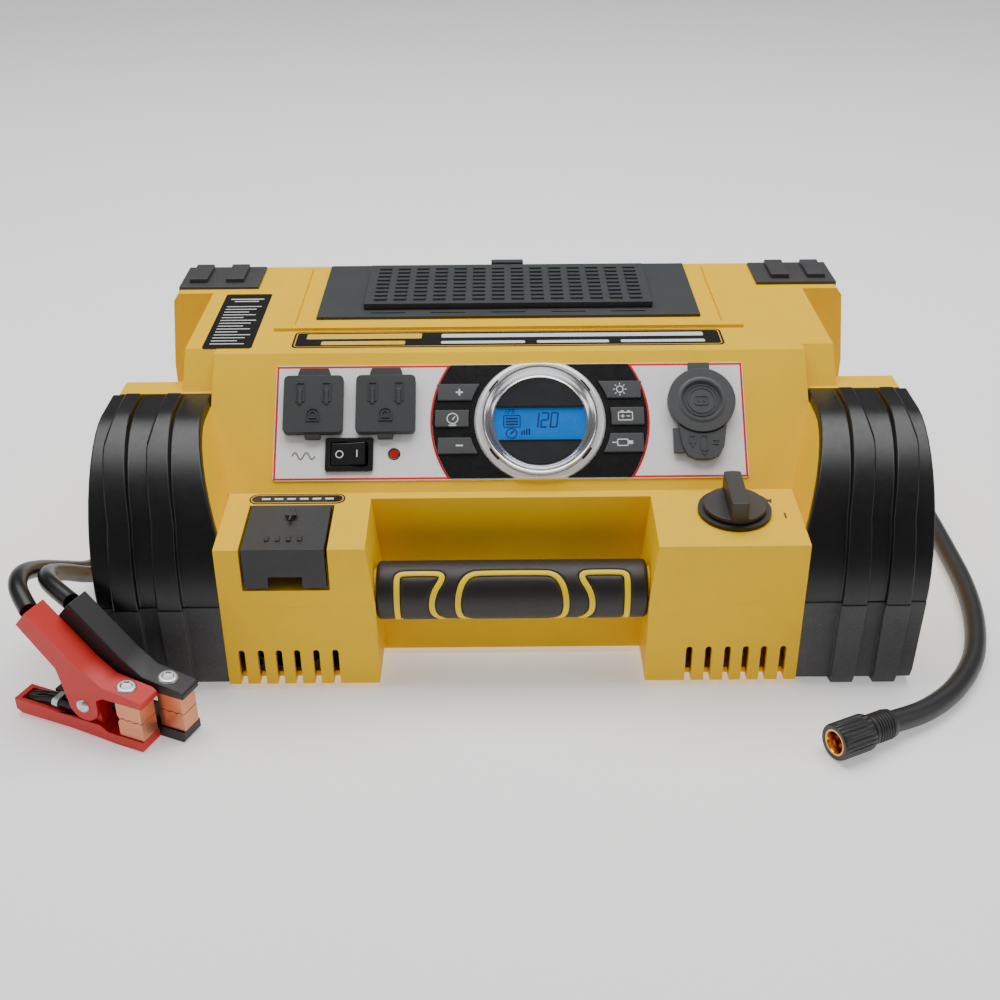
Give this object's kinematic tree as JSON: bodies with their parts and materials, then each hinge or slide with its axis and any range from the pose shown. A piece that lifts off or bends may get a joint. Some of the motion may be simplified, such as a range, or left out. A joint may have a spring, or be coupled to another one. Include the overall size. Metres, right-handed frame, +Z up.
{
  "type": "jump starter pack",
  "caption": "Portable car jump starter and power pack with carry handle, control panel, power sockets, battery clamps and air hose.",
  "frame": {"origin": "on the floor below the middle of the pack's box, measured without the cords and what is on them", "axes": "+X to the pack's right as seen from its handle side, +Y from the handle to the back wall, +Z up"},
  "size_m": [0.4754, 0.3651, 0.1367],
  "materials": {
    "housing_yellow": "satin moulded plastic",
    "bumper_gloss": "smooth moulded rubber",
    "bumper_textured": "fine textured rubber",
    "foot_grey": "fine textured plastic",
    "grip_rubber": "soft matt rubber",
    "lid_grey": "fine textured plastic",
    "label_white": "printed film",
    "keypad_black": "printed film",
    "chrome_ring": "polished",
    "display_blue": "lit display",
    "led_red": "clear red lens",
    "button_grey": "soft matt rubber",
    "socket_black": "matt plastic",
    "cover_dark": "soft matt rubber",
    "cover_grey": "soft matt rubber",
    "switch_black": "gloss plastic",
    "usb_steel": "plated steel",
    "knob_black": "fine textured plastic",
    "battery_case": "matt plastic",
    "circuit_board": "solder mask",
    "winding": "enamelled wire and core",
    "fan_black": "matt plastic",
    "pump_aluminium": "die cast",
    "motor_steel": "plated steel",
    "screw_steel": "zinc plated",
    "lens_clear": "clear moulded lens",
    "cable_rubber": "satin rubber",
    "hose_rubber": "satin rubber",
    "chuck_black": "knurled plastic over brass",
    "clamp_red": "satin vinyl",
    "clamp_black": "satin vinyl",
    "jaw_copper": "copper plated"
  },
  "bodies": {
    "root": {"upper_housing": "housing_yellow", "lower_housing": "housing_yellow", "bumper_upper_left": "bumper_gloss", "bumper_upper_right": "bumper_gloss", "bumper_lower_left": "bumper_textured", "bumper_lower_right": "bumper_textured", "rear_foot_left": "foot_grey", "rear_foot_right": "foot_grey", "handle_grip": "grip_rubber", "top_plate": "lid_grey", "control_label": "label_white", "keypad": "keypad_black", "lcd_bezel": "chrome_ring", "lcd_module": "display_blue", "power_led": "led_red", "ac_outlets": "socket_black", "inverter_switch": "switch_black", "dc_socket": "socket_black", "usb_socket": "usb_steel", "battery_switch": "knob_black", "charger_inlet": "socket_black", "battery": "battery_case", "inverter_board": "circuit_board", "transformer": "winding", "charger_board": "circuit_board", "control_board": "circuit_board", "cooling_fan": "fan_black", "compressor": "pump_aluminium", "compressor_motor": "motor_steel", "housing_screws": "screw_steel", "area_light": "lens_clear", "cable_gland": "cable_rubber", "hose_gland": "cable_rubber", "cable_red": "cable_rubber", "cable_black": "cable_rubber", "air_hose": "hose_rubber", "air_chuck": "chuck_black", "red_upper_arm": "clamp_red", "black_upper_arm": "clamp_black", "upper_jaws": "jaw_copper"},
    "lid": {"accessory_lid": "lid_grey"},
    "latch": {"lid_latch": "lid_grey"},
    "left_outlet_cover": {"outlet_cover_left": "cover_dark"},
    "right_outlet_cover": {"outlet_cover_right": "cover_dark"},
    "rocker": {"inverter_rocker": "switch_black"},
    "socket_cap": {"dc_cap": "cover_grey"},
    "usb_flap": {"usb_cover": "cover_grey"},
    "knob": {"battery_knob": "knob_black"},
    "charger_flap": {"charger_cover": "socket_black"},
    "fan": {"fan_rotor": "fan_black"},
    "red_jaw": {"red_lower_arm": "clamp_red", "red_lower_jaw": "jaw_copper"},
    "black_jaw": {"black_lower_arm": "clamp_black", "black_lower_jaw": "jaw_copper"},
    "key_plus": {"button_plus": "button_grey"},
    "key_compressor": {"button_compressor": "button_grey"},
    "key_minus": {"button_minus": "button_grey"},
    "key_light": {"button_light": "button_grey"},
    "key_battery": {"button_battery": "button_grey"},
    "key_usb": {"button_usb": "button_grey"}
  },
  "joints": [
    {"name": "lid_hinge", "type": "hinge", "parent": "root", "child": "lid", "pos_m": [0, 0.0404, 0.1334], "axis": [1, 0, 0], "range_deg": [0, 100]},
    {"name": "latch_slide", "type": "slide", "parent": "lid", "child": "latch", "axis": [0, 1, 0], "range_m": [0, 0.0015], "stiffness_N_per_m": 400, "springref_m": -0.002},
    {"name": "left_outlet_hinge", "type": "hinge", "parent": "root", "child": "left_outlet_cover", "pos_m": [-0.0951, -0.04753, 0.10106], "axis": [1, 0, 0], "range_deg": [0, 105]},
    {"name": "right_outlet_hinge", "type": "hinge", "parent": "root", "child": "right_outlet_cover", "pos_m": [-0.0601, -0.04753, 0.10106], "axis": [1, 0, 0], "range_deg": [0, 105]},
    {"name": "rocker_pivot", "type": "hinge", "parent": "root", "child": "rocker", "pos_m": [-0.0774, -0.05169, 0.09299], "axis": [0, 0.7181, 0.6959], "range_deg": [0, 16]},
    {"name": "cap_hinge", "type": "hinge", "parent": "root", "child": "socket_cap", "pos_m": [0.0926, -0.02261, 0.12577], "axis": [-1, 0, 0], "range_deg": [0, 120]},
    {"name": "usb_hinge", "type": "hinge", "parent": "root", "child": "usb_flap", "pos_m": [0.0796, -0.04983, 0.09926], "axis": [0, -0.7181, -0.6959], "range_deg": [0, 100]},
    {"name": "knob_turn", "type": "hinge", "parent": "root", "child": "knob", "pos_m": [0.1038, -0.0843, 0.07891], "axis": [0, -0.0569, 0.9984], "range_deg": [-90, 0]},
    {"name": "charger_hinge", "type": "hinge", "parent": "root", "child": "charger_flap", "pos_m": [-0.103, -0.078, 0.0797], "axis": [-1, 0, 0], "range_deg": [0, 90]},
    {"name": "fan_spin", "type": "hinge", "parent": "root", "child": "fan", "pos_m": [-0.105, -0.1005, 0.0265], "axis": [0, 1, 0], "continuous": true},
    {"name": "red_clamp_pivot", "type": "hinge", "parent": "root", "child": "red_jaw", "pos_m": [-0.1905, -0.1405, 0.017], "axis": [0.4067, 0.9135, 0], "range_deg": [0, 25], "stiffness_Nm_per_rad": 0.6, "springref_deg": -34.38},
    {"name": "black_clamp_pivot", "type": "hinge", "parent": "root", "child": "black_jaw", "pos_m": [-0.1735, -0.1337, 0.017], "axis": [0.4067, 0.9135, 0], "range_deg": [0, 25], "stiffness_Nm_per_rad": 0.6, "springref_deg": -34.38},
    {"name": "plus_press", "type": "slide", "parent": "root", "child": "key_plus", "axis": [0, 0.6959, -0.7181], "range_m": [0, 0.001], "stiffness_N_per_m": 300, "springref_m": -0.001},
    {"name": "compressor_press", "type": "slide", "parent": "root", "child": "key_compressor", "axis": [0, 0.6959, -0.7181], "range_m": [0, 0.001], "stiffness_N_per_m": 300, "springref_m": -0.001},
    {"name": "minus_press", "type": "slide", "parent": "root", "child": "key_minus", "axis": [0, 0.6959, -0.7181], "range_m": [0, 0.001], "stiffness_N_per_m": 300, "springref_m": -0.001},
    {"name": "light_press", "type": "slide", "parent": "root", "child": "key_light", "axis": [0, 0.6959, -0.7181], "range_m": [0, 0.001], "stiffness_N_per_m": 300, "springref_m": -0.001},
    {"name": "battery_press", "type": "slide", "parent": "root", "child": "key_battery", "axis": [0, 0.6959, -0.7181], "range_m": [0, 0.001], "stiffness_N_per_m": 300, "springref_m": -0.001},
    {"name": "usb_press", "type": "slide", "parent": "root", "child": "key_usb", "axis": [0, 0.6959, -0.7181], "range_m": [0, 0.001], "stiffness_N_per_m": 300, "springref_m": -0.001}
  ]
}
